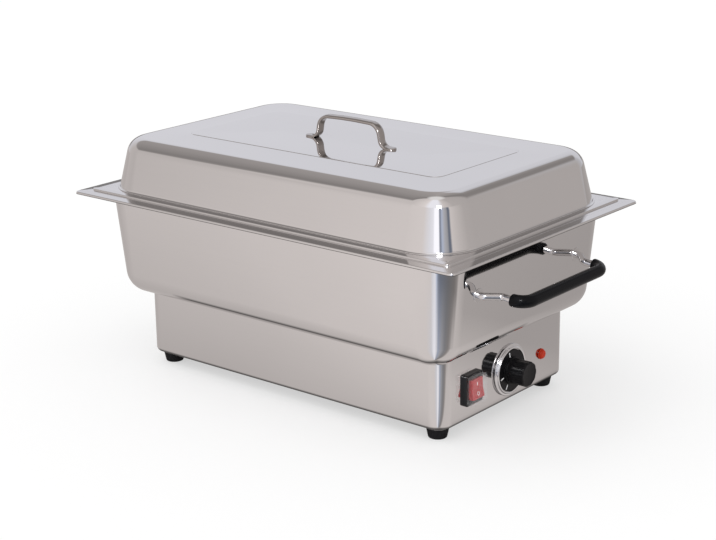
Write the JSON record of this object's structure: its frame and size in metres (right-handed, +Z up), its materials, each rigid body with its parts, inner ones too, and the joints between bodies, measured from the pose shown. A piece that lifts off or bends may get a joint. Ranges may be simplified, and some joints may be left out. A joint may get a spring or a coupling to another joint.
{
  "type": "electric chafing dish",
  "caption": "Electric chafing dish: stainless water bath on a heated base, with a lift-out food pan, lift-off lid, side handles, switch, thermostat and pilot lamp.",
  "frame": {"origin": "on the table under the middle of the dish", "axes": "+X along the dish towards the control panel, +Z up, front at -Y"},
  "size_m": [0.6542, 0.388, 0.3355],
  "materials": {
    "polished_steel": "mirror-polished stainless sheet",
    "bright_bar": "bright round steel bar",
    "satin_steel": "satin stainless sheet",
    "fastener_steel": "plain steel fasteners",
    "grip_black": "glossy black sleeve",
    "foot_rubber": "matt black rubber",
    "black_plastic": "moulded black plastic",
    "knob_black": "moulded black plastic with pale ticks",
    "rocker_red": "red moulded plastic",
    "clear_cover": "clear soft plastic",
    "bezel_chrome": "bright pressed ring",
    "lamp_orange": "orange lens",
    "heater_steel": "dark heater sheath",
    "shaft_brass": "turned brass",
    "copper_tube": "copper tube",
    "cream_plastic": "heat-proof cream plastic",
    "wire_sleeve": "heat-proof wire sleeve"
  },
  "bodies": {
    "housing": {"top_frame": "polished_steel", "right_handle_rod": "bright_bar", "left_handle_rod": "bright_bar", "handle_washers": "bright_bar", "water_pan": "satin_steel", "base_housing": "satin_steel", "bottom_plate": "satin_steel", "element_clamps": "satin_steel", "bottom_plate_screws": "fastener_steel", "foot_screws": "fastener_steel", "foot_nuts": "fastener_steel", "handle_nuts": "fastener_steel", "pan_studs": "fastener_steel", "pan_nuts": "fastener_steel", "thermostat_screws": "fastener_steel", "lamp_nut": "fastener_steel", "terminal_block_screws": "fastener_steel", "right_handle_grip": "grip_black", "left_handle_grip": "grip_black", "front_left_foot": "foot_rubber", "front_right_foot": "foot_rubber", "rear_left_foot": "foot_rubber", "rear_right_foot": "foot_rubber", "switch_body": "black_plastic", "lamp_body": "black_plastic", "overheat_cutout": "black_plastic", "cord_gland": "black_plastic", "gland_nut": "black_plastic", "switch_cover": "clear_cover", "thermostat_bezel": "bezel_chrome", "lamp_lens": "lamp_orange", "heating_element": "heater_steel", "thermostat_bulb": "copper_tube", "thermostat_body": "cream_plastic", "terminal_block": "cream_plastic", "wiring": "wire_sleeve"},
    "food_pan": {"food_pan": "satin_steel"},
    "lid": {"lid_shell": "polished_steel", "lid_handle": "bright_bar"},
    "knob": {"thermostat_knob": "knob_black", "thermostat_shaft": "shaft_brass"},
    "rocker": {"switch_rocker": "rocker_red"}
  },
  "joints": [
    {"name": "food_pan_lift", "type": "slide", "parent": "housing", "child": "food_pan", "axis": [0, 0, 1], "range_m": [0, 0.15]},
    {"name": "lid_lift", "type": "slide", "parent": "food_pan", "child": "lid", "axis": [0, 0, 1], "range_m": [0, 0.2]},
    {"name": "knob_turn", "type": "hinge", "parent": "housing", "child": "knob", "pos_m": [0.239, 0.0045, 0.055], "axis": [-1, 0, 0], "range_deg": [0, 270]},
    {"name": "rocker_throw", "type": "hinge", "parent": "housing", "child": "rocker", "pos_m": [0.2415, -0.0725, 0.055], "axis": [0, 1, 0], "range_deg": [0, 16]}
  ]
}
